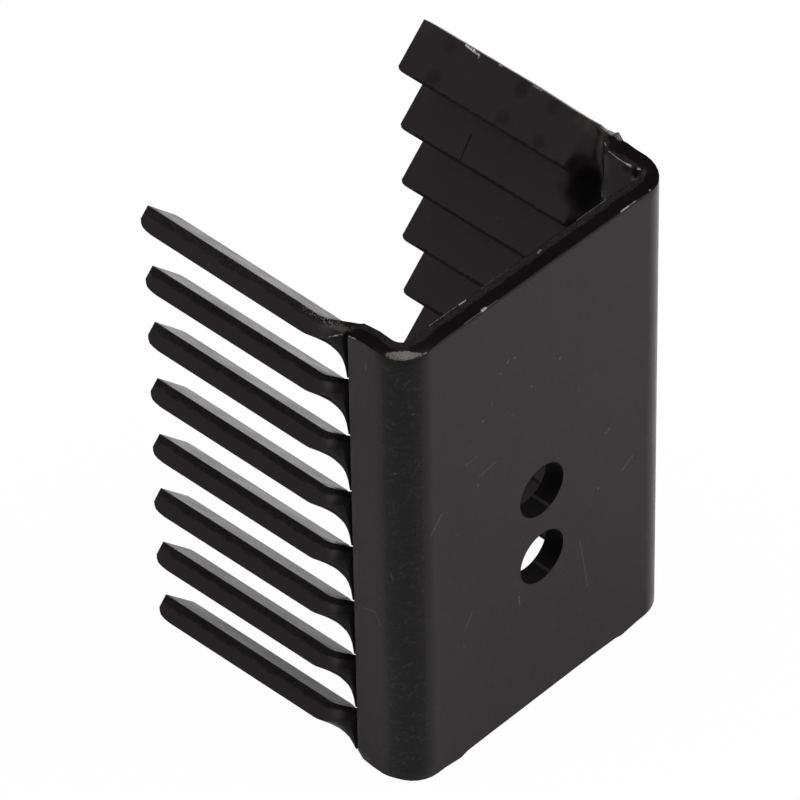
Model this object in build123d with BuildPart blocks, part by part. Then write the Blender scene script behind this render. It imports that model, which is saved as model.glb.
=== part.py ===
from build123d import *
import os

# Heat sink of one piece of sheet: a channel whose two flanges are cut into combs of
# twisted fins. The origin is the axis of the upper hole on the outer face of the plate.
# The plate faces -Y, the fins reach towards +Y, and the bends run upright along Z.

# Sheet and channel, in millimetres
sheet = 1.5
channel_width = 25.0
channel_depth = 22.0
bend_inner_radius = 1.0

# Comb of fins along each flange
fin_count = 8
fin_width = 3.5
slot_width = 1.3
slot_end = 4.75

# Twist of each fin about its own long axis, in degrees and millimetres. Half way along
# it the sheet is drawn thinner, and its middle bulges outwards.
fin_twist = 45.5
twist_length = 2.95
twist_steps = 3
waist_thickness = 1.25
waist_bulge = 0.12

# Tip of each fin: its outer edge, which the punch rounds, and its lower corner
tip_roll_radius = 0.5
tip_corner_radius = 0.35

# Round holes in the plate, the upper one at its height above the lower end
hole_diameter = 4.0
upper_hole_height = 18.2
hole_spacing = 5.85

# Derived sizes
pitch = fin_width + slot_width
height = fin_count * pitch - slot_width
bend_outer_radius = bend_inner_radius + sheet
half_width = channel_width / 2
twist_end = slot_end + twist_length
blade_length = channel_depth - twist_end
fin_middle = half_width - sheet / 2
lower_end = -upper_hole_height
first_fin_height = lower_end + fin_width / 2
middle_height = lower_end + height / 2


def inward(turn):
    """Direction square to a left fin's wide faces, towards the channel, at a turn."""
    return Vector(1, 0, 0).rotate(Axis.Y, -turn)


def turn_at(share):
    """Turn of the fin along its twist, which starts at once at the root and eases out."""
    return fin_twist * (3 * share - share**3) / 2


def waist_at(share):
    """How far the waist shows along the twist: fully half way, and not at its two ends."""
    return 4 * share * (1 - share)


def twist_plane(share):
    """Plane across the lowest left fin at a share of its twisted stretch."""
    bulge = waist_bulge * waist_at(share)
    middle = Vector(-fin_middle - bulge, slot_end + twist_length * share, first_fin_height)
    return Plane(origin=middle, x_dir=inward(turn_at(share)), z_dir=(0, 1, 0))


blade_root = Vector(-fin_middle, twist_end, first_fin_height)
wide_plane = Plane(origin=blade_root, x_dir=(0, 1, 0), z_dir=inward(fin_twist))
edge_plane = Plane(origin=blade_root, x_dir=(0, 1, 0), z_dir=wide_plane.y_dir)

# One left fin: the straight blade first, then the twisted stretch that carries it
with BuildPart() as fin:
    with BuildSketch(wide_plane) as wide_outline:
        Rectangle(blade_length, fin_width, align=(Align.MIN, Align.CENTER))
        tip_corners = wide_outline.vertices().group_by(Axis.X)[-1]
        fillet(tip_corners.sort_by(Axis.Y)[0], radius=tip_corner_radius)
    extrude(amount=sheet / 2, both=True)
    with BuildSketch(edge_plane) as edge_outline:
        Rectangle(blade_length, sheet, align=(Align.MIN, Align.CENTER))
        tip_corners = edge_outline.vertices().group_by(Axis.X)[-1]
        fillet(tip_corners.sort_by(Axis.Y)[-1], radius=tip_roll_radius)
    extrude(amount=fin_width / 2, both=True, mode=Mode.INTERSECT)
    for step in range(twist_steps + 1):
        share = step / twist_steps
        thickness = sheet - (sheet - waist_thickness) * waist_at(share)
        with BuildSketch(twist_plane(share)):
            Rectangle(thickness, fin_width)
    loft()

right_fin = mirror(fin.part, about=Plane.YZ)
upper_hole = Plane(origin=(0, 0, 0), z_dir=(0, -1, 0))
lower_hole = Plane(origin=(0, 0, -hole_spacing), z_dir=(0, -1, 0))


with BuildPart() as heat_sink:
    # The strip's section runs along the fold line, which is the outer face of the channel
    with BuildLine(Plane.XY.offset(middle_height)):
        FilletPolyline(
            (-half_width, slot_end),
            (-half_width, 0),
            (half_width, 0),
            (half_width, slot_end),
            radius=bend_outer_radius,
        )
    with BuildSketch(Plane.XZ.offset(-slot_end)):
        with Locations((-fin_middle, middle_height)):
            Rectangle(sheet, height)
    sweep()

    # The fins go on from the flanges' edges, which show between them as the slots' ends
    with Locations([(0, 0, pitch * place) for place in range(fin_count)]):
        add(fin.part)
        add(right_fin)

    # Two holes through the plate, one under the other
    with Locations(upper_hole, lower_hole):
        Hole(hole_diameter / 2, depth=sheet)

heat_sink.part.label = "heat_sink"
os.makedirs("parts", exist_ok=True)
export_step(heat_sink.part, "parts/heat_sink.step")
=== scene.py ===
import math

import bmesh
import bpy
from mathutils import Matrix, Vector


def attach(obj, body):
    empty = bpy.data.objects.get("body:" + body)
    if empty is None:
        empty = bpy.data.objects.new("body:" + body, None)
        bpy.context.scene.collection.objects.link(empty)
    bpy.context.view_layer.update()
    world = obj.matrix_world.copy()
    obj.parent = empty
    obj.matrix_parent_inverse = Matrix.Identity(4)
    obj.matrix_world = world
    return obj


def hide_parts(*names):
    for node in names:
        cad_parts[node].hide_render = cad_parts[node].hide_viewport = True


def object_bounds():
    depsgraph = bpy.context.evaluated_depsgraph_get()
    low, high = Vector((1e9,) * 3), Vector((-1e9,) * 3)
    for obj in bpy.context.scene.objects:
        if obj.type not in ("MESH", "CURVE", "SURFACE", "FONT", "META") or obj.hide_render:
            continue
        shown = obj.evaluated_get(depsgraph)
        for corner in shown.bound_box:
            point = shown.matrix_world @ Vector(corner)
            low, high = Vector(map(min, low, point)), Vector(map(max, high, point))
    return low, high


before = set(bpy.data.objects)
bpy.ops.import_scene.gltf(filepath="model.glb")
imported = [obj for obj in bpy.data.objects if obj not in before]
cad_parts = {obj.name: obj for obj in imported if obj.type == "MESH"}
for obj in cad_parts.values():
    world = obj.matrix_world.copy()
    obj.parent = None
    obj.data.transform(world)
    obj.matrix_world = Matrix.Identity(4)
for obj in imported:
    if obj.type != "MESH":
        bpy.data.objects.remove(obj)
cad_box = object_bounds()

MM = 0.001

# Camera, as far off and as steep as the photograph's, with its lens in mm
AZIMUTH = math.radians(-45.71)
ELEVATION = math.radians(42.415)
ROLL = math.radians(-1.085)
DISTANCE = 488.9 * MM
AIM = Vector((-0.50, 12.03, 0.70)) * MM
SENSOR = 36
LENS = 340.07
NEAREST = 0.01
FARTHEST = 10

# The folded sheet, in metres: the plate faces -Y and the two flanges reach towards +Y
SHEET = 1.5 * MM
HALF_WIDTH = 12.5 * MM
BEND_CENTRE = 10.0 * MM
BEND_RADIUS = 2.5 * MM
BEND_STEPS = 8
FIN_ROOT = 4.75 * MM
FIN_END = 22.0 * MM
LOWER_END = -18.2 * MM
FIN_COUNT = 8
FIN_WIDTH = 3.5 * MM
PITCH = 4.8 * MM
HEIGHT = FIN_COUNT * PITCH - (PITCH - FIN_WIDTH)
UPPER_END = LOWER_END + HEIGHT
SHEAR_LINE = 0.67 * MM

# Two round holes through the plate, one under the other
HOLE_RADIUS = 2 * MM
HOLE_HEIGHTS = (("upper_cutter", 0), ("lower_cutter", -5.85 * MM))

# Rows along each flange between its root and its bend, and how much of the root's narrowing
# the flange's ends still have there
FLANGE_ROWS = ((4.3 * MM, 0.7), (3.4 * MM, 0.12))

# The twist of each fin about its own long axis. The strip is narrow at its root, and along
# the twist the sheet is drawn thinner and bulges outwards.
FIN_TWIST = math.radians(45.5)
TWIST_LENGTH = 2.9 * MM
TWIST_SHARES = (0.035, 0.09, 0.13, 0.2, 0.3, 0.4, 0.5, 0.6, 0.7, 0.8, 0.9, 1)
ROOT_NARROWING = 0.12
WAIST_THINNING = 0.17
WAIST_BULGE = 0.13 * MM
WAIST_LEAN = 0.6
FIN_MIDDLE = HALF_WIDTH - SHEET / 2

# The crease in the outer face: its depth, and between which shares of the twist it is folded
CREASE_DEPTH = 0.45 * MM
CREASE_START = 0.035
CREASE_END = 0.13
CREASE_EASE = 0.04

# Each slot ends aslant: the web that is left under a strip's root. The lowest one is nipped off.
# A strip's lower side is what lies more than this part of its width below its middle.
WEB_DEPTH = 1.66 * MM
LOWEST_WEB = -0.45 * MM
WEB_LENGTH = 0.67 * MM
LOWER_SIDE = 0.36

# The plate from bend to bend: places along it and how far its lower edge hangs down there, in mm.
# At the two lowest places are the nibs that are left of the bridges to its strip.
PLATE_STATIONS = (
    (-9.2, 0.05),
    (-8.4, 0.21),
    (-7.75, 0.31),
    (-7.1, 0.13),
    (-5, 0.1),
    (-2.5, 0.09),
    (2.5, 0.06),
    (5, 0.06),
    (7.1, 0.12),
    (7.75, 0.26),
    (8.4, 0.17),
    (9.2, 0.07),
    (10, 0.03),
)
# How far below the solids the floor lies, so that it cuts off neither the nibs nor the webs
FLOOR_GAP = 0.25 * MM

# Rows along the straight blade, and where along it a fin is widened and lifted
BLADE_ROWS = (9 * MM, 13 * MM, 17 * MM)
BLADE_LENGTH = FIN_END - FIN_ROOT - TWIST_LENGTH
WIDENING_STARTS = (6.6 * MM, 12 * MM)
LIFT_START = 8.5 * MM

# The tip's outer edge is drawn in by the punch, and its lower corner a little: rows of
# distance from the tip, how far the outer edge goes in and how far the corner goes up
TIP_ROWS = ((1.3, 0, 0), (0.8, 0.05, 0), (0.42, 0.14, 0.01), (0.18, 0.31, 0.07), (0, 0.54, 0.24))
TINY = 0.01 * MM

# Each fin from the lowest up: how far its tip is lifted, how much longer and wider it is, in mm
LEFT_FINS = (
    (-0.24, 0.22, 0),
    (-0.26, 0.24, 0),
    (-0.24, 0.22, 0),
    (-0.16, 0.1, 0),
    (-0.06, 0.06, 0),
    (0, 0.05, 0),
    (0, 0.02, 0),
    (0.16, 0.16, 0.06),
)
RIGHT_FINS = (
    (0, 0, 0),
    (-0.03, 0.05, 0),
    (0.02, -0.05, 0),
    (-0.05, -0.08, 0),
    (-0.05, -0.08, 0),
    (-0.03, -0.1, 0),
    (-0.03, -0.1, 0),
    (0.03, 0, 0.2),
)

# Where the fold and the punch moved the sheet's edges: place, how far it goes and how far around
# it the sheet follows, in mm. First the dips over both bends, then the notch beside the spur,
# then the left bend's foot.
TOP = UPPER_END / MM
FOOT = LOWER_END / MM
BEND_DIPS = (
    ((-11.77, 0.73, TOP), (0, 0, -0.34), 3.2),
    ((11.77, 0.73, TOP), (0, 0, -0.2), 3),
)
NOTCH = ((10.7, 1.8, TOP), (0.2, -0.15, -0.35), 0.7)
BEND_FOOT = (
    ((-10, 0, FOOT), (0, 0, -0.11), 2.2),
    ((-12.31, 1.54, FOOT), (0, 0, 0.1), 1.2),
)

# The spur that the punch left on the right root's outer arris: points and how far they go, in mm
SPUR_REACH = 0.05
RIGHT_SPUR = (
    ((12.5, 4.3, 18.75), (0.12, 0, 0.08)),
    ((12.5, 4.75, 18.69), (0.34, 0, -0.14)),
    ((12.11, 4.85, 18.68), (0.74, 0, -0.04)),
    ((12.22, 5.01, 18.67), (0.7, 0, 0.02)),
    ((12.74, 5.13, 18.62), (0.2, 0, 0.16)),
    ((12.86, 5.33, 18.57), (0.13, 0, 0.29)),
    ((13.02, 5.62, 18.49), (0.08, 0, 0.09)),
    ((13.39, 6.49, 18.15), (0, 0, -0.12)),
    ((13.53, 6.78, 18.11), (0, 0, -0.28)),
    ((13.57, 7.07, 18.02), (0, 0, -0.14)),
)

# The arrises: how far they are softened, from which angle, and up to which angle faces look smooth
ARRIS_WIDTH = 0.05 * MM
ARRIS_STEPS = 3
ARRIS_ANGLE = math.radians(35)
SMOOTH_ANGLE = math.radians(32)
FLAT_ANGLE = math.radians(1)
FLAT_WEIGHT = 80

# Light: how far the floor glows by itself to the eye and in reflections, how bright the ceiling
# is, and how high the pale band at the floor's far edge fades out
FLOOR_SIZE = 20
FLOOR_GLOW = 0.98
MIRRORED_GLOW = 0.25
PALE = (0.9, 0.9, 0.9, 1)
WHITE = (1, 1, 1, 1)
CEILING = 0.1
HORIZON = (0.04, 0.12)

# Soft square lamps: name, place, side in metres and power
LAMP_AIM = Vector((0, 0.01, 0))
LAMPS = (
    ("key", (0.4, -0.47, 0.52), 0.5, 6),
    ("overhead", (-0.2, 0.3, 0.95), 0.8, 5.5),
    ("left_softbox", (-0.8, 0.61, 0.6), 0.9, 2.9),
)


def edit_mode():
    bpy.ops.object.mode_set(mode="EDIT")


def object_mode():
    bpy.ops.object.mode_set(mode="OBJECT")


def select_only(piece):
    bpy.ops.object.select_all(action="DESELECT")
    piece.select_set(True)
    bpy.context.view_layer.objects.active = piece


def pick(piece, kind, wanted):
    """Select the faces, edges or vertices of a piece in edit mode for which wanted is true."""
    bpy.ops.mesh.select_all(action="DESELECT")
    bpy.ops.mesh.select_mode(type={"faces": "FACE", "edges": "EDGE", "verts": "VERT"}[kind])
    mesh = bmesh.from_edit_mesh(piece.data)
    for part in getattr(mesh, kind):
        if wanted(part):
            part.select = True
    mesh.select_flush_mode()
    bmesh.update_edit_mesh(piece.data)


def extrude(offset):
    bpy.ops.mesh.extrude_region_move(TRANSFORM_OT_translate={"value": offset})


def turn(angle, axis, centre):
    """Turn the selection by the right-hand rule, which the operator reverses with no window."""
    bpy.ops.transform.rotate(value=-angle, orient_axis=axis, center_override=centre)


def fold(centre):
    """Spin the selection through a quarter circle about an upright axis, as the sheet is folded."""
    bpy.ops.mesh.spin(steps=BEND_STEPS, angle=-math.pi / 2, center=centre, axis=(0, 0, 1))


def start_section(name, low, high, cuts):
    """A flat strip in the XZ plane at the left fins' root, cut along the shear line and at heights."""
    bpy.ops.object.select_all(action="DESELECT")
    bpy.ops.mesh.primitive_plane_add(size=1, location=(0, 0, 0))
    piece = bpy.context.active_object
    piece.name = name
    piece.data.name = name
    edit_mode()
    bpy.ops.mesh.select_all(action="SELECT")
    turn(-math.pi / 2, "X", (0, 0, 0))
    bpy.ops.transform.resize(value=(SHEET, 1, high - low), center_override=(0, 0, 0))
    bpy.ops.transform.translate(value=(-FIN_MIDDLE, FIN_ROOT, (low + high) / 2))
    bpy.ops.mesh.select_all(action="SELECT")
    bpy.ops.mesh.bisect(plane_co=(-HALF_WIDTH + SHEAR_LINE, 0, 0), plane_no=(1, 0, 0))
    for height in cuts:
        bpy.ops.mesh.select_all(action="SELECT")
        bpy.ops.mesh.bisect(plane_co=(0, 0, height), plane_no=(0, 0, 1))
    object_mode()
    # How far through the sheet a point lies, from its outer side, 0, to its inner side, 1
    through = piece.data.attributes.new("through_sheet", "FLOAT", "POINT")
    for vertex, value in zip(piece.data.vertices, through.data):
        value.value = (vertex.co.x + HALF_WIDTH) / SHEET
    return piece


def fin_heights(place):
    """A strip's lower edge, its upper edge and the three heights that quarter it."""
    base = LOWER_END + PITCH * place
    return [base + FIN_WIDTH * quarter / 4 for quarter in range(5)]


def model_channel():
    """The plate, its two bends and the flanges as far as the fins' roots."""
    heights = [height for place in range(FIN_COUNT) for height in fin_heights(place)]
    piece = start_section("heat_sink_body", LOWER_END, UPPER_END, heights[1:-1])
    edit_mode()
    bpy.ops.mesh.select_all(action="SELECT")
    rows = [row for row, _ in FLANGE_ROWS]
    place = FIN_ROOT
    for target in rows + [BEND_RADIUS]:
        extrude((0, target - place, 0))
        place = target
    fold((-BEND_CENTRE, BEND_RADIUS, 0))
    across = -BEND_CENTRE
    for target, _ in PLATE_STATIONS:
        extrude((target * MM - across, 0, 0))
        across = target * MM
    fold((BEND_CENTRE, BEND_RADIUS, 0))
    for target in rows[::-1] + [FIN_ROOT]:
        extrude((0, target - place, 0))
        place = target

    def is_root(face):
        centre = face.calc_center_median()
        above = (centre.z - LOWER_END) % PITCH
        return centre.y > FIN_ROOT - TINY and above < FIN_WIDTH

    pick(piece, "faces", is_root)
    bpy.ops.mesh.delete(type="FACE")
    narrow_roots(piece)
    object_mode()
    return piece


def lower_web(piece, middle, depth):
    """Draw a strip's lower side down where it starts, so that the slot below it ends aslant."""
    low = middle - LOWER_SIDE * FIN_WIDTH
    for share in (0,) + TWIST_SHARES:
        row = FIN_ROOT + TWIST_LENGTH * share
        part = 1 - TWIST_LENGTH * share / WEB_LENGTH
        if part > 0:
            pick(piece, "verts", lambda v: abs(v.co.y - row) < TINY and low - PITCH / 4 < v.co.z < low)
            bpy.ops.transform.translate(value=(0, 0, -depth * part))


def narrow_roots(piece):
    """Draw the strips in at their roots, and let the flanges' ends dip down to them."""
    for place in range(FIN_COUNT):
        middle = fin_heights(place)[2]

        def at_root(vertex):
            return vertex.co.y > FIN_ROOT - TINY and abs(vertex.co.z - middle) < FIN_WIDTH / 2 + TINY

        pick(piece, "verts", at_root)
        bpy.ops.transform.resize(value=(1, 1, 1 - ROOT_NARROWING), center_override=(0, 0, middle))
        lower_web(piece, middle, WEB_DEPTH if place else LOWEST_WEB)
    dip = ROOT_NARROWING * FIN_WIDTH / 2
    for row, share in FLANGE_ROWS:
        for edge, way in ((UPPER_END, -1), (LOWER_END, 1)):
            pick(piece, "verts", lambda v: abs(v.co.y - row) < TINY and abs(v.co.z - edge) < TINY)
            bpy.ops.transform.translate(value=(0, 0, way * dip * share))


def twist_at(share):
    """Turn of the strip along its twist, which starts at once at the root and eases out."""
    return FIN_TWIST * (3 * share - share**3) / 2


def waist_at(share):
    """How far the waist shows along the twist: most before half way, and not at its two ends."""
    return math.sin(math.pi * share**WAIST_LEAN)


def crease_at(share):
    """Depth of the groove that the twist folds into the outer face right at the root."""
    return CREASE_DEPTH * max(0, min(1, share / CREASE_START, (CREASE_END - share) / CREASE_EASE))


def width_at(share):
    return FIN_WIDTH * (1 - ROOT_NARROWING * (1 - share) ** 2)


def thickness_at(share):
    return SHEET * (1 - WAIST_THINNING * waist_at(share)) - crease_at(share)


def middle_at(share):
    """Where the strip's middle lies across the channel."""
    return -FIN_MIDDLE - WAIST_BULGE * waist_at(share) + crease_at(share) / 2


def model_fin():
    """The lowest left fin: its twisted root, its straight blade and its punched tip."""
    heights = fin_heights(0)
    piece = start_section("fin", heights[0], heights[-1], heights[1:-1])
    middle = heights[2]
    # How near a point lies to the strip's lower edge, 1, from its upper edge, 0
    lower = piece.data.attributes.new("near_lower_edge", "FLOAT", "POINT")
    for vertex, value in zip(piece.data.vertices, lower.data):
        value.value = (heights[-1] - vertex.co.z) / FIN_WIDTH
    edit_mode()
    bpy.ops.mesh.select_all(action="SELECT")
    bpy.ops.transform.resize(value=(1, 1, width_at(0) / FIN_WIDTH), center_override=(0, 0, middle))
    before = 0
    for share in TWIST_SHARES:
        extrude((middle_at(share) - middle_at(before), TWIST_LENGTH * (share - before), 0))
        centre = (middle_at(share), 0, middle)
        turn(twist_at(before), "Y", centre)
        ratio = (thickness_at(share) / thickness_at(before), 1, width_at(share) / width_at(before))
        bpy.ops.transform.resize(value=ratio, center_override=centre)
        turn(-twist_at(share), "Y", centre)
        before = share
    reach = FIN_ROOT + TWIST_LENGTH
    for target in BLADE_ROWS + tuple(FIN_END - row[0] * MM for row in TIP_ROWS):
        extrude((0, target - reach, 0))
        reach = target
    shape_tip(piece, Vector((-FIN_MIDDLE, 0, middle)))
    pick(piece, "faces", lambda face: face.calc_center_median().y < FIN_ROOT + TINY)
    bpy.ops.mesh.delete(type="FACE")
    object_mode()
    return piece


def fin_inwards():
    """Direction square to a left fin's wide faces, towards the channel."""
    return Vector((math.cos(FIN_TWIST), 0, math.sin(FIN_TWIST)))


def fin_upwards():
    """Direction square to a left fin's narrow faces, towards its upper edge."""
    return Vector((-math.sin(FIN_TWIST), 0, math.cos(FIN_TWIST)))


def shape_tip(piece, centre):
    """Draw in the tip's outer edge row by row, as the punch did, and round its lower corner."""
    inwards = fin_inwards()
    upwards = fin_upwards()
    for back, inset, rise in TIP_ROWS:
        row = FIN_END - back * MM

        def outer(v):
            return abs(v.co.y - row) < TINY and (v.co - centre).dot(inwards) < -SHEET / 2 + TINY

        def lowest(v):
            return abs(v.co.y - row) < TINY and (v.co - centre).dot(upwards) < -FIN_WIDTH / 2 + TINY

        pick(piece, "verts", outer)
        bpy.ops.transform.translate(value=inwards * inset * MM)
        pick(piece, "verts", lowest)
        bpy.ops.transform.translate(value=upwards * rise * MM)


def push(piece, place, offset, reach):
    """Move the point nearest to a place, and what lies within reach of it less and less."""
    target = Vector(place) * MM
    nearest = min(piece.data.vertices, key=lambda v: (v.co - target).length).index
    edit_mode()
    pick(piece, "verts", lambda v: v.index == nearest)
    bpy.ops.transform.translate(
        value=Vector(offset) * MM,
        use_proportional_edit=True,
        proportional_edit_falloff="SMOOTH",
        proportional_size=reach * MM,
        use_proportional_connected=True,
    )
    object_mode()


def copy_piece(piece, name):
    twin = piece.copy()
    twin.data = piece.data.copy()
    twin.name = name
    bpy.context.scene.collection.objects.link(twin)
    return twin


def settle_fin(fin, web, lift, reach, widening):
    """Give one fin its own web, its own small lift and reach, in mm at its tip, and its width."""
    select_only(fin)
    edit_mode()
    middle = LOWER_END + FIN_WIDTH / 2
    lower_web(fin, middle, web)
    upwards = fin_upwards()
    axis = Vector((-FIN_MIDDLE, 0, middle))
    if widening:
        top = FIN_WIDTH / 2 - TINY
        for start in WIDENING_STARTS:
            pick(fin, "verts", lambda v: v.co.y > start and (v.co - axis).dot(upwards) > top)
            bpy.ops.transform.translate(value=upwards * widening / 2 * MM)
    pick(fin, "verts", lambda v: v.co.y > LIFT_START)
    turn(lift * MM / BLADE_LENGTH, "X", (-FIN_MIDDLE, FIN_ROOT + TWIST_LENGTH, middle))
    bpy.ops.transform.translate(value=(0, reach * MM, 0))
    object_mode()


def place_fins(fin):
    """Copy the fin up both flanges, on the right as its mirror image."""
    fins = []
    for side, name, ways in ((1, "left", LEFT_FINS), (-1, "right", RIGHT_FINS)):
        for place, way in enumerate(ways):
            twin = copy_piece(fin, f"{name}_fin_{place}")
            settle_fin(twin, WEB_DEPTH if place else LOWEST_WEB, *way)
            twin.location.z = PITCH * place
            twin.scale.x = side
            fins.append(twin)
    bpy.data.objects.remove(fin)
    return fins


def join_pieces(body, others):
    bpy.ops.object.select_all(action="DESELECT")
    for other in others:
        other.select_set(True)
    bpy.context.view_layer.objects.active = others[0]
    bpy.ops.object.transform_apply(location=True, rotation=True, scale=True)
    body.select_set(True)
    bpy.context.view_layer.objects.active = body
    bpy.ops.object.join()
    edit_mode()
    bpy.ops.mesh.select_all(action="SELECT")
    bpy.ops.mesh.remove_doubles(threshold=TINY)
    bpy.ops.mesh.normals_make_consistent(inside=False)
    object_mode()


def apply_modifier(piece, name, kind, **settings):
    modifier = piece.modifiers.new(name, kind)
    for key, value in settings.items():
        setattr(modifier, key, value)
    select_only(piece)
    bpy.ops.object.modifier_apply(modifier=name)


def press_edges(body):
    """Dip the sheet's edges at the bends, and leave the plate's nibs and the right spur and notch."""
    for dip in BEND_DIPS:
        push(body, *dip)
    for place, offset in RIGHT_SPUR:
        push(body, place, offset, SPUR_REACH)
    push(body, *NOTCH)
    edit_mode()
    for across, drop in PLATE_STATIONS:
        pick(body, "verts", lambda v: abs(v.co.x - across * MM) < TINY and v.co.z < LOWER_END + TINY)
        bpy.ops.transform.translate(value=(0, 0, -drop * MM))
    object_mode()
    for part in BEND_FOOT:
        push(body, *part)


def smooth_plate(body):
    """Take the cuts out of the plate's two flat faces, which the holes left in slivers."""
    select_only(body)
    edit_mode()

    def on_plate(face):
        return abs(face.normal.y) > 0.9999 and abs(face.calc_center_median().x) < BEND_CENTRE

    pick(body, "faces", on_plate)
    bpy.ops.mesh.dissolve_limited(angle_limit=FLAT_ANGLE)
    object_mode()


def cut_holes(body):
    for name, height in HOLE_HEIGHTS:
        bpy.ops.object.select_all(action="DESELECT")
        bpy.ops.mesh.primitive_cylinder_add(
            vertices=64,
            radius=HOLE_RADIUS,
            depth=4 * MM,
            location=(0, SHEET / 2, height),
            rotation=(math.pi / 2, 0, 0),
        )
        cutter = bpy.context.active_object
        cutter.name = name
        apply_modifier(body, name, "BOOLEAN", operation="DIFFERENCE", object=cutter, solver="EXACT")
        bpy.data.objects.remove(cutter)


def soften_arrises(body):
    apply_modifier(
        body,
        "arrises",
        "BEVEL",
        width=ARRIS_WIDTH,
        segments=ARRIS_STEPS,
        limit_method="ANGLE",
        angle_limit=ARRIS_ANGLE,
    )
    select_only(body)
    bpy.ops.object.shade_smooth_by_angle(angle=SMOOTH_ANGLE)
    apply_modifier(body, "flat_faces", "WEIGHTED_NORMAL", keep_sharp=True, weight=FLAT_WEIGHT)


def add_camera():
    data = bpy.data.cameras.new("camera")
    data.sensor_width = SENSOR
    data.lens = LENS
    data.clip_start = NEAREST
    data.clip_end = FARTHEST
    camera = bpy.data.objects.new("camera", data)
    bpy.context.scene.collection.objects.link(camera)
    aim = Matrix.Rotation(AZIMUTH, 4, "Z") @ Matrix.Rotation(math.pi / 2 - ELEVATION, 4, "X")
    back = (aim @ Vector((0, 0, 1))).normalized()
    place = Matrix.Translation(AIM + back * DISTANCE)
    camera.matrix_world = place @ aim @ Matrix.Rotation(ROLL, 4, "Z")
    bpy.context.scene.camera = camera


def add_lamp(name, place, side, power):
    data = bpy.data.lights.new(name, "AREA")
    data.shape = "RECTANGLE"
    data.size = side
    data.size_y = side
    data.energy = power
    light = bpy.data.objects.new(name, data)
    bpy.context.scene.collection.objects.link(light)
    light.location = place
    light.rotation_euler = (LAMP_AIM - Vector(place)).to_track_quat("-Z", "Y").to_euler()


def add_stage():
    """A pale floor that is white to the eye and in reflections, and still takes a soft shadow."""
    bpy.ops.object.select_all(action="DESELECT")
    bpy.ops.mesh.primitive_plane_add(size=FLOOR_SIZE, location=(0, 0, cad_box[0][2] - FLOOR_GAP))
    floor = bpy.context.active_object
    floor.name = "floor"
    material = bpy.data.materials.new("pale_floor")
    material.use_nodes = True
    nodes = material.node_tree.nodes
    links = material.node_tree.links
    nodes.clear()
    path = nodes.new("ShaderNodeLightPath")
    share = nodes.new("ShaderNodeMath")
    share.operation = "MAXIMUM"
    for place, (ray, glow) in enumerate((("Is Camera Ray", FLOOR_GLOW), ("Is Glossy Ray", MIRRORED_GLOW))):
        part = nodes.new("ShaderNodeMath")
        part.operation = "MULTIPLY"
        part.inputs[1].default_value = glow
        links.new(path.outputs[ray], part.inputs[0])
        links.new(part.outputs[0], share.inputs[place])
    matte = nodes.new("ShaderNodeBsdfDiffuse")
    matte.inputs["Color"].default_value = PALE
    glow = nodes.new("ShaderNodeEmission")
    glow.inputs["Color"].default_value = WHITE
    glow.inputs["Strength"].default_value = 1
    mix = nodes.new("ShaderNodeMixShader")
    links.new(share.outputs[0], mix.inputs[0])
    links.new(matte.outputs[0], mix.inputs[1])
    links.new(glow.outputs[0], mix.inputs[2])
    output = nodes.new("ShaderNodeOutputMaterial")
    links.new(mix.outputs[0], output.inputs["Surface"])
    floor.data.materials.append(material)


def add_world():
    """A dim studio, with a pale band only at the floor's far edge."""
    world = bpy.data.worlds.new("studio")
    world.use_nodes = True
    nodes = world.node_tree.nodes
    links = world.node_tree.links
    place = nodes.new("ShaderNodeTexCoord")
    parts = nodes.new("ShaderNodeSeparateXYZ")
    links.new(place.outputs["Generated"], parts.inputs[0])
    fade = nodes.new("ShaderNodeMapRange")
    fade.interpolation_type = "SMOOTHSTEP"
    fade.inputs["From Min"].default_value = HORIZON[0]
    fade.inputs["From Max"].default_value = HORIZON[1]
    fade.inputs["To Min"].default_value = 1
    fade.inputs["To Max"].default_value = CEILING
    links.new(parts.outputs["Z"], fade.inputs["Value"])
    links.new(fade.outputs["Result"], nodes["Background"].inputs["Strength"])
    bpy.context.scene.world = world


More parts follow.
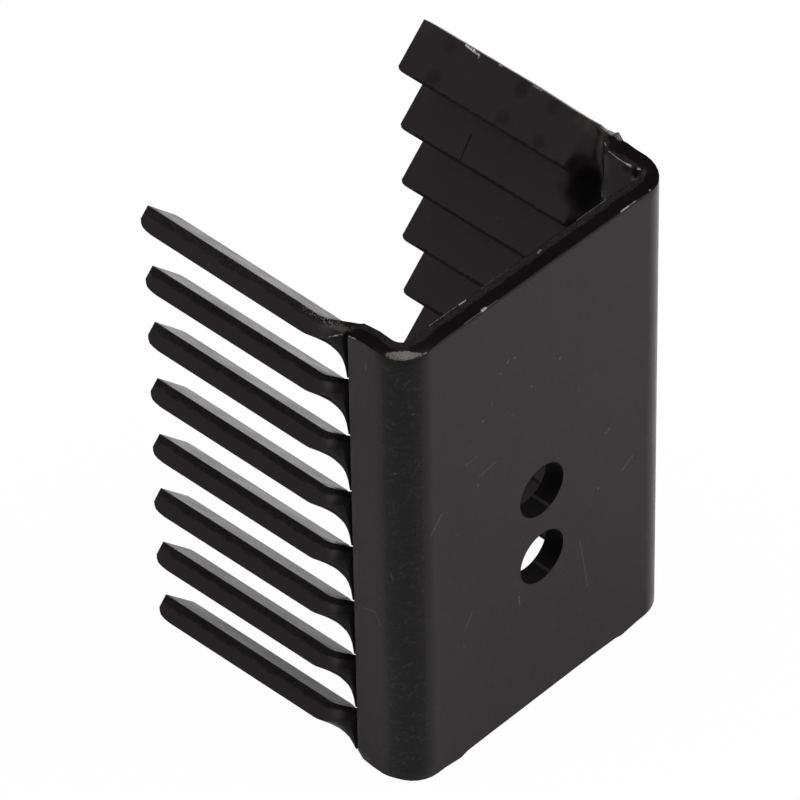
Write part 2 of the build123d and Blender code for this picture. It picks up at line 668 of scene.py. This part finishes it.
# Bare metal where the finish is worn or chipped, and painted highlights where marked: start and
# end of each streak in mm, half its width and how bare it is
BARE_STREAKS_AND_HIGHLIGHTS = (
    ((-10.8, 0.16, 18.66), (-10.4, 0.07, 18.71), 0.06, 0.25),
    ((7.4, 0, 18.9), (8.1, 0, 18.9), 0.07, 0.8),
    ((8.1, 0, 18.9), (8.75, 0.03, 18.88), 0.04, 0.45),
    ((10.15, 0.1, 18.83), (10.2, 0.12, 18.83), 0.08, 0.5),
    ((-8.6, 1.5, 18.9), (-6.2, 1.5, 18.9), 0.05, 0.35),
    ((-5.9, 1.47, 18.9), (-5.4, 1.47, 18.9), 0.1, 0.7),
    ((-3.9, 1.5, 18.9), (-1.5, 1.5, 18.9), 0.04, 0.15),
    ((0.9, 1.15, 18.9), (1.25, 1.25, 18.9), 0.08, 0.2),
    ((-5.35, 0.04, 18.89), (-5.05, 0.05, 18.89), 0.12, 0.9),
    # Painted highlight: a thin bright line along the plate's upper outer arris
    ((-7.0, 0.02, 18.88), (-4.0, 0.02, 18.88), 0.035, 0.12),
    # Chips again
    ((4.9, 1.5, 18.9), (7.6, 1.5, 18.9), 0.04, 0.35),
    # Painted highlights: the burr along the right flange's inner arris down to the bend, then the lit face
    # of the spur's tab
    ((11.64, 5.3, 18.86), (11.3, 4.6, 18.72), 0.04, 0.35),
    ((11.3, 4.6, 18.72), (11.04, 3.5, 18.85), 0.04, 0.35),
    ((11.04, 3.5, 18.85), (11.02, 2.5, 18.84), 0.04, 0.45),
    ((11.05, 2.85, 18.85), (11.1, 2.6, 18.83), 0.11, 0.5),
    ((11.25, 2.1, 18.78), (11.3, 2.0, 18.76), 0.09, 0.4),
    ((12.83, 5.85, 18.57), (12.74, 5.0, 18.72), 0.24, 0.25),
    # Chips and wear again
    ((-13.06, 5.8, 18.3), (-12.85, 5.3, 18.56), 0.07, 0.5),
    ((-12.85, 5.3, 18.56), (-12.6, 5.1, 18.6), 0.06, 0.3),
    ((-12.5, 4.6, 18.7), (-12.5, 4.1, 18.78), 0.06, 0.35),
    ((12.59, 18.2, 19.05), (12.54, 17.5, 19.0), 0.13, 0.8),
    ((12.52, 17.6, 18.97), (12.5, 17.0, 18.93), 0.1, 0.55),
    ((12.46, 17.0, 18.93), (12.36, 16.95, 18.83), 0.08, 0.25),
    ((12.58, 15.3, 19.04), (12.58, 15.1, 19.04), 0.07, 0.4),
    ((12.56, 12.3, 19.02), (12.56, 11.6, 19.0), 0.07, 0.3),
)
# Fine scratches, which only grey the finish, as the streaks above. The last two are painted
# highlights: the lines down the holes' walls, where the lamp overhead is reflected.
FINE_SCRATCHES_AND_HIGHLIGHTS = (
    ((7.65, 0, -3.51), (8.7, 0, -2.86), 0.06, 0.8),
    ((-10.27, 0, 3.11), (-9.24, 0, 4.31), 0.06, 0.7),
    ((-5.78, 0, 5.14), (-4.19, 0, 5.41), 0.05, 0.6),
    ((-7.06, 0, 6.96), (-5.9, 0, 7.01), 0.05, 0.5),
    ((3.61, 0, -6.82), (4.38, 0, -11.58), 0.05, 0.5),
    ((-2.21, 0, -7.83), (-2.13, 0, -8.58), 0.07, 0.8),
    ((-7.26, 0, -7.28), (-6.5, 0, -6.17), 0.06, 0.5),
    ((-12.5, 3.92, -4.16), (-12.5, 2.95, -3.84), 0.05, 0.7),
    ((-12.5, 2.95, -3.84), (-12.5, 2.41, -4.74), 0.05, 0.6),
    ((-12.5, 3.42, 18.8), (-12.5, 2.92, 18.26), 0.05, 0.5),
    ((-12.5, 3.24, 17.22), (-12.5, 3.21, 16.82), 0.07, 0.7),
    ((-12.3, 1.6, 0.3), (-12.2, 1.5, -0.54), 0.08, 0.6),
    ((0.72, 1.4, -1.86), (0.72, 0.1, -1.86), 0.14, 0.3),
    ((0.76, 1.4, -7.71), (0.76, 0.1, -7.71), 0.14, 0.3),
)
# Short bright specks on the plate and the left bend, in mm
SPECKS = (
    (-3.1, 0, 13.09),
    (-3.05, 0, 13.2),
    (-2.46, 0, 13.03),
    (-3.79, 0, 12.58),
    (-4.55, 0, 10.51),
    (-5.4, 0, 9.66),
    (-0.93, 0, 9.6),
    (1.7, 0, 10.24),
    (6.1, 0, 0.9),
    (6.35, 0, 1.02),
    (5.35, 0, -3.52),
    (-5.91, 0, 4.5),
    (-11.31, 0.38, 13.97),
    (-12.14, 1.22, 8.99),
)
# Where the finish is stained at the roots, as the streaks above
STAINS = (
    ((12.34, 8.0, 18.75), (12.1, 6.1, 18.85), 0.55, 0.8),
    ((-12.4, 5.95, 18.75), (-12.3, 5.3, 18.7), 0.3, 0.9),
)
# Where the punch left bright grains, as the streaks above
GRAINY_STREAKS = (
    ((-12.5, 8.3, 18.93), (-12.4, 6.2, 18.85), 0.4, 0.22),
    ((-12.4, 6.2, 18.85), (-12.0, 5.0, 18.72), 0.3, 0.1),
)
# Dull soft spots on the top right fin, then painted shade: two spots in the pocket behind its root
# and one in the notch at the right bend's inner top corner. Places, radii in mm and how dull they are
DULL_SPOTS_AND_PAINTED_SHADE = (
    ((12.17, 19.28, 18.61), 0.75, 0.35),
    ((10.57, 19.21, 17.04), 0.8, 0.45),
    ((12.14, 13.01, 18.59), 0.8, 0.45),
    ((10.58, 13.14, 17.05), 0.9, 0.5),
    ((10.46, 9.97, 16.93), 0.8, 0.45),
    ((12.17, 10.16, 18.61), 0.85, 0.4),
    ((12.1, 7.0, 13.8), 2.6, 1),
    ((10.75, 5.9, 16.0), 1.5, 1),
    ((11.05, 2.1, 18.55), 0.45, 1),
)
# A dull scratch across the second right fin from the top, as the streaks above
DULL_SCRATCH = ((11.41, 16.75, 13.05), (10.09, 16.53, 11.75), 0.07, 0.8)

# The left bend's corner is worn bare along its top: where the bend's centre is and which way its
# corner faces, how far from the centre the wear starts, how far down it goes, in mm, and how much
# it draws in to both sides
BEND_MIDDLE = (-9.9, 2.39, 18.9)
CORNER_WAY = (-0.743, -0.669, 0)
CORNER_ACROSS = (0.669, -0.743, 0)
WEAR_START = 1.67
WEAR_DEPTH = 0.355
WEAR_SAG = -0.22

# Shares of the way through the sheet: the skin at both arrises, and where the burnished half of
# a cut edge gives way to the torn half
OUTER_SKIN = (0.015, 0.045)
INNER_SKIN = (0.955, 0.985)
SHEAR_BAND = (0.58, 0.72)

# Colours of the finish, and of what shows where it is sheared, torn, crazed, stained, dull,
# scratched or worn through. The dull colour also paints shade, and the scratched and the bare
# colour also paint highlights.
ANODISED = (0.0072, 0.0044, 0.0052, 1)
BURNISHED = (0.0056, 0.0042, 0.0046, 1)
TORN_DARK = (0.0034, 0.0028, 0.003, 1)
TORN_LIGHT = (0.0175, 0.0155, 0.0155, 1)
CRAZED_DARK = (0.0002, 0.0002, 0.0002, 1)
CRAZED_LIGHT = (0.015, 0.015, 0.015, 1)
STAINED = (0.014, 0.0135, 0.0095, 1)
DULL_AND_SHADE = (0.0004, 0.0004, 0.0004, 1)
SCRATCH_AND_HIGHLIGHT_GREY = (0.06, 0.057, 0.055, 1)
BARE_AND_HIGHLIGHT = (0.58, 0.54, 0.52, 1)

# The finish's gloss
GLOSS_IOR = 1.26
GLOSS_TINT = (1, 0.915, 0.945, 1)
RELIEF_STRENGTH = 0.35
RELIEF_DEPTH = 0.05 * MM

RIGHTWARDS = (1, 0, 0)
BACKWARDS = (0, 1, 0)
FORWARDS = (0, -1, 0)
UPWARDS = (0, 0, 1)


def add_node(tree, kind, **settings):
    node = tree.nodes.new(kind)
    for key, value in settings.items():
        setattr(node, key, value)
    return node


def feed(tree, value, socket):
    if isinstance(value, bpy.types.NodeSocket):
        tree.links.new(value, socket)
    else:
        socket.default_value = value


def math_of(tree, operation, first, second=0.0):
    node = add_node(tree, "ShaderNodeMath", operation=operation)
    feed(tree, first, node.inputs[0])
    feed(tree, second, node.inputs[1])
    return node.outputs[0]


def chain_of(tree, operation, values):
    result = values[0]
    for value in values[1:]:
        result = math_of(tree, operation, result, value)
    return result


def sum_of(tree, *values):
    return chain_of(tree, "ADD", values)


def product_of(tree, *values):
    return chain_of(tree, "MULTIPLY", values)


def most_of(tree, values):
    return chain_of(tree, "MAXIMUM", values)


def vector_of(tree, operation, first, second=(0, 0, 0), out="Vector"):
    node = add_node(tree, "ShaderNodeVectorMath", operation=operation)
    feed(tree, first, node.inputs[0])
    feed(tree, second, node.inputs[1])
    return node.outputs[out]


def along_of(tree, vector, way):
    """How far a vector goes along a way."""
    return vector_of(tree, "DOT_PRODUCT", vector, way, "Value")


def away_of(tree, place, point):
    """How far a place is from a point."""
    return vector_of(tree, "DISTANCE", place, point, "Value")


def rise_of(tree, value, low, high, bottom=0.0, top=1.0):
    """A smooth rise from bottom to top as the value goes from low to high."""
    node = add_node(tree, "ShaderNodeMapRange", interpolation_type="SMOOTHSTEP")
    feed(tree, value, node.inputs["Value"])
    feed(tree, low, node.inputs["From Min"])
    feed(tree, high, node.inputs["From Max"])
    feed(tree, bottom, node.inputs["To Min"])
    feed(tree, top, node.inputs["To Max"])
    return node.outputs["Result"]


def fall_of(tree, value, low, high, top=1.0):
    """A smooth fall from top to nothing as the value goes from low to high."""
    return rise_of(tree, value, high, low, 0.0, top)


def noise_of(tree, place, scale, detail, roughness=0.6):
    node = add_node(tree, "ShaderNodeTexNoise")
    feed(tree, place, node.inputs["Vector"])
    node.inputs["Scale"].default_value = scale
    node.inputs["Detail"].default_value = detail
    node.inputs["Roughness"].default_value = roughness
    return node.outputs["Fac"]


def swing_of(tree, noise, size):
    """The noise's swing to both sides of its middle, at a size."""
    return product_of(tree, math_of(tree, "SUBTRACT", noise, 0.5), size)


def blend_of(tree, share, first, second):
    node = add_node(tree, "ShaderNodeMix", data_type="RGBA")
    feed(tree, share, node.inputs["Factor"])
    feed(tree, first, node.inputs[6])
    feed(tree, second, node.inputs[7])
    return node.outputs[2]


def streak_of(tree, place, start, end, half_width, strength):
    """How much a streak from start to end covers a place."""
    start = Vector(start)
    run = Vector(end) - start
    way = run / run.length_squared
    along = add_node(tree, "ShaderNodeMapRange")
    feed(tree, along_of(tree, place, way), along.inputs["Value"])
    along.inputs["From Min"].default_value = start.dot(way)
    along.inputs["From Max"].default_value = start.dot(way) + 1
    nearest = add_node(tree, "ShaderNodeVectorMath", operation="MULTIPLY_ADD")
    for slot, given in enumerate((along.outputs["Result"], run, start)):
        feed(tree, given, nearest.inputs[slot])
    away = away_of(tree, place, nearest.outputs["Vector"])
    return fall_of(tree, away, half_width * 0.55, half_width, strength)


def streaks_of(tree, place, streaks):
    return most_of(tree, [streak_of(tree, place, *streak) for streak in streaks])


class Surface:
    """What the finish goes by at each point of the sheet: its place in mm, its facing, its grain."""

    def __init__(self, tree):
        coordinate = add_node(tree, "ShaderNodeTexCoord")
        scaled = add_node(tree, "ShaderNodeVectorMath", operation="SCALE")
        scaled.inputs["Scale"].default_value = 1 / MM
        tree.links.new(coordinate.outputs["Object"], scaled.inputs[0])
        self.place = scaled.outputs["Vector"]
        self.normal = add_node(tree, "ShaderNodeNewGeometry").outputs["Normal"]
        self.through = self.attribute(tree, "through_sheet")
        self.near_lower_edge = self.attribute(tree, "near_lower_edge")
        self.fine = noise_of(tree, self.place, 2.4, 5, 0.65)
        self.broad = noise_of(tree, self.place, 0.35, 3)
        self.grain = noise_of(tree, self.place, 7, 4, 0.7)
        self.wavy = swing_of(tree, noise_of(tree, self.place, 0.9, 4), 0.42)
        self.ragged = swing_of(tree, self.grain, 0.2)

    def attribute(self, tree, name):
        return add_node(tree, "ShaderNodeAttribute", attribute_name=name).outputs["Fac"]


def torn_edges(tree, at):
    """The cut edges' inner half, which tore when the sheet was punched."""
    line = sum_of(tree, at.through, at.wavy)
    return product_of(tree, rise_of(tree, line, *SHEAR_BAND), fall_of(tree, at.through, *INNER_SKIN))


def burnished_edges(tree, at):
    """The cut edges' outer half, which the punch sheared smooth."""
    line = sum_of(tree, at.through, at.wavy)
    return product_of(tree, rise_of(tree, at.through, *OUTER_SKIN), fall_of(tree, line, *SHEAR_BAND))


def crazed_bend(tree, at):
    """The bend between the left flange and the plate, crazed by the fold."""
    facing = along_of(tree, at.normal, CORNER_WAY)
    return rise_of(tree, sum_of(tree, facing, product_of(tree, at.ragged, 0.3)), 0.82, 0.9)


def worn_corner(tree, at):
    """A crescent at the top of the left bend: straight above, and round the corner below."""
    off = vector_of(tree, "SUBTRACT", at.place, BEND_MIDDLE)
    along = along_of(tree, off, CORNER_WAY)
    across = along_of(tree, off, CORNER_ACROSS)
    height = along_of(tree, off, UPWARDS)
    sag = product_of(tree, across, across, WEAR_SAG)
    over = sum_of(tree, along, sag, product_of(tree, at.ragged, 2.0))
    over = rise_of(tree, over, WEAR_START, WEAR_START + 0.1)
    depth = sum_of(tree, height, product_of(tree, sag, 0.5), WEAR_DEPTH, at.ragged)
    return product_of(tree, over, rise_of(tree, depth, -0.03, 0.05))


def bare_metal_and_highlights(tree, at):
    """Chips, painted highlights, the worn corner and the punch's bright grains."""
    chips_and_highlights = streaks_of(tree, at.place, BARE_STREAKS_AND_HIGHLIGHTS)
    chips_and_highlights = product_of(tree, chips_and_highlights, rise_of(tree, at.grain, 0.36, 0.5))
    worn = product_of(tree, worn_corner(tree, at), rise_of(tree, at.grain, 0.3, 0.62, 0.235, 0.29))
    grains = streaks_of(tree, at.place, GRAINY_STREAKS)
    grains = product_of(tree, grains, rise_of(tree, at.grain, 0.52, 0.6))
    return most_of(tree, [chips_and_highlights, worn, grains])


def scratches_and_painted_highlights(tree, at):
    """Fine scratches, painted highlights down the holes' walls, strewn faint specks and the single bright
    ones.
    """
    cells = add_node(tree, "ShaderNodeTexVoronoi", feature="F1")
    feed(tree, at.place, cells.inputs["Vector"])
    cells.inputs["Scale"].default_value = 0.62
    few = rise_of(tree, cells.outputs["Color"], 0.62, 0.64)
    strewn = product_of(tree, fall_of(tree, cells.outputs["Distance"], 0.03, 0.075), few)
    single = [fall_of(tree, away_of(tree, at.place, speck), 0.05, 0.11) for speck in SPECKS]
    scratch_and_highlight_lines = streaks_of(tree, at.place, FINE_SCRATCHES_AND_HIGHLIGHTS)
    return most_of(tree, [scratch_and_highlight_lines, product_of(tree, strewn, 0.4), most_of(tree, single)])


def dull_spots_and_painted_shade(tree, at):
    """Soft spots with a wavy outline: dull spots, and painted shade in the pocket and the notch."""
    spots = []
    for spot, radius, strength in DULL_SPOTS_AND_PAINTED_SHADE:
        away = sum_of(tree, away_of(tree, at.place, spot), product_of(tree, at.wavy, radius * 1.2))
        spots.append(fall_of(tree, away, radius * 0.4, radius, strength))
    return most_of(tree, spots)


def painted_shade_in_holes(tree, at):
    # Painted shade: the holes' walls are darkened and dulled
    flat = vector_of(tree, "MULTIPLY", at.place, (1, 0, 1))
    radius = HOLE_RADIUS / MM
    walls = []
    for _, height in HOLE_HEIGHTS:
        away = away_of(tree, flat, (0, 0, height / MM))
        walls.append(fall_of(tree, away, radius + 0.02, radius + 0.06))
    return most_of(tree, walls)


def painted_shade_under_overhangs(tree, at):
    """Painted shade: the dark line where each right fin hangs over the next."""
    lower = sum_of(tree, at.near_lower_edge, swing_of(tree, at.fine, 0.12))
    edge = product_of(tree, rise_of(tree, lower, 0.93, 0.955), rise_of(tree, at.through, 0.97, 0.99))
    right = rise_of(tree, along_of(tree, at.place, RIGHTWARDS), 0, 1)
    covered = fall_of(tree, along_of(tree, at.place, BACKWARDS), 20.4, 20.7, 0.75)
    return product_of(tree, edge, product_of(tree, right, covered))


def painted_shade_at_left_roots(tree, at):
    """Painted shade at the fins' roots on the left flange."""
    behind = along_of(tree, at.place, BACKWARDS)
    root = product_of(tree, rise_of(tree, behind, 4.7, 4.8), fall_of(tree, behind, 5.4, 6.4, 0.6))
    return product_of(tree, root, fall_of(tree, along_of(tree, at.place, RIGHTWARDS), -10, -9))


def painted_shade_on_upper_arris(tree, at):
    """Painted shade along the plate's upper arris, which the punch rolled over."""
    height = sum_of(tree, along_of(tree, at.place, UPWARDS), product_of(tree, at.ragged, 2.2))
    front = along_of(tree, at.normal, FORWARDS)
    return product_of(tree, rise_of(tree, height, 18.5, 18.86, 0.0, 0.65), rise_of(tree, front, 0.3, 0.7))


def dull_and_painted_shade_places(tree, at, stained):
    """All that has lost its gloss, and the painted shade in hollows, under the fins' overhangs and
    along the plate's upper arris. The stained roots keep theirs.
    """
    places = [
        streak_of(tree, at.place, *DULL_SCRATCH),
        dull_spots_and_painted_shade(tree, at),
        painted_shade_in_holes(tree, at),
        painted_shade_under_overhangs(tree, at),
        math_of(tree, "SUBTRACT", painted_shade_at_left_roots(tree, at), stained),
        painted_shade_on_upper_arris(tree, at),
    ]
    return most_of(tree, places)


def crackle_colour(tree, at):
    """Fine light wrinkles on the crazed skin."""
    wrinkle = math_of(tree, "ABSOLUTE", math_of(tree, "SUBTRACT", noise_of(tree, at.place, 0.75, 2), 0.5))
    wrinkles = product_of(tree, fall_of(tree, wrinkle, 0.0, 0.03), rise_of(tree, at.fine, 0.42, 0.6))
    return blend_of(tree, wrinkles, CRAZED_DARK, CRAZED_LIGHT)


def black_anodised():
    """Black anodised sheet, sheared bright and torn at its cut edges, and worn at its corners, with
    painted shade and painted highlights in places.
    """
    finish = bpy.data.materials.new("black_anodised")
    finish.use_nodes = True
    tree = finish.node_tree
    shader = tree.nodes["Principled BSDF"]
    shader.inputs["IOR"].default_value = GLOSS_IOR
    shader.inputs["Specular Tint"].default_value = GLOSS_TINT

    at = Surface(tree)
    torn = torn_edges(tree, at)
    burnished = burnished_edges(tree, at)
    crazed = crazed_bend(tree, at)
    stained = streaks_of(tree, at.place, STAINS)
    dull_and_shade = dull_and_painted_shade_places(tree, at, stained)
    scratched_and_highlit = scratches_and_painted_highlights(tree, at)
    bare_and_highlit = bare_metal_and_highlights(tree, at)

    rough_metal = blend_of(tree, rise_of(tree, at.grain, 0.4, 0.68), TORN_DARK, TORN_LIGHT)
    # Painted shade comes in with the dull colour, painted highlights with the scratched and the bare
    # colour
    colour = ANODISED
    for share, over in (
        (crazed, crackle_colour(tree, at)),
        (torn, rough_metal),
        (burnished, BURNISHED),
        (stained, STAINED),
        (dull_and_shade, DULL_AND_SHADE),
        (scratched_and_highlit, SCRATCH_AND_HIGHLIGHT_GREY),
        (bare_and_highlit, BARE_AND_HIGHLIGHT),
    ):
        colour = blend_of(tree, share, colour, over)
    feed(tree, colour, shader.inputs["Base Color"])

    roughness = rise_of(tree, at.broad, 0.3, 0.7, 0.22, 0.3)
    for share, more in ((torn, 0.5), (dull_and_shade, 0.6), (crazed, 0.08), (bare_and_highlit, 0.15)):
        roughness = sum_of(tree, roughness, product_of(tree, share, more))
    feed(tree, roughness, shader.inputs["Roughness"])
    feed(tree, product_of(tree, bare_and_highlit, 0.7), shader.inputs["Metallic"])

    crazing = product_of(tree, crazed, at.fine, 2.2)
    relief = sum_of(tree, product_of(tree, torn, at.grain), crazing, product_of(tree, at.fine, 0.12))
    bump = add_node(tree, "ShaderNodeBump")
    bump.inputs["Strength"].default_value = RELIEF_STRENGTH
    bump.inputs["Distance"].default_value = RELIEF_DEPTH
    feed(tree, relief, bump.inputs["Height"])
    feed(tree, bump.outputs["Normal"], shader.inputs["Normal"])
    return finish


add_camera()
add_world()
add_stage()
for lamp in LAMPS:
    add_lamp(*lamp)

body = model_channel()
join_pieces(body, place_fins(model_fin()))
press_edges(body)
cut_holes(body)
smooth_plate(body)
soften_arrises(body)

body.data.materials.append(black_anodised())

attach(body, "root")
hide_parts("heat_sink")

bpy.context.scene.view_settings.view_transform = "Standard"
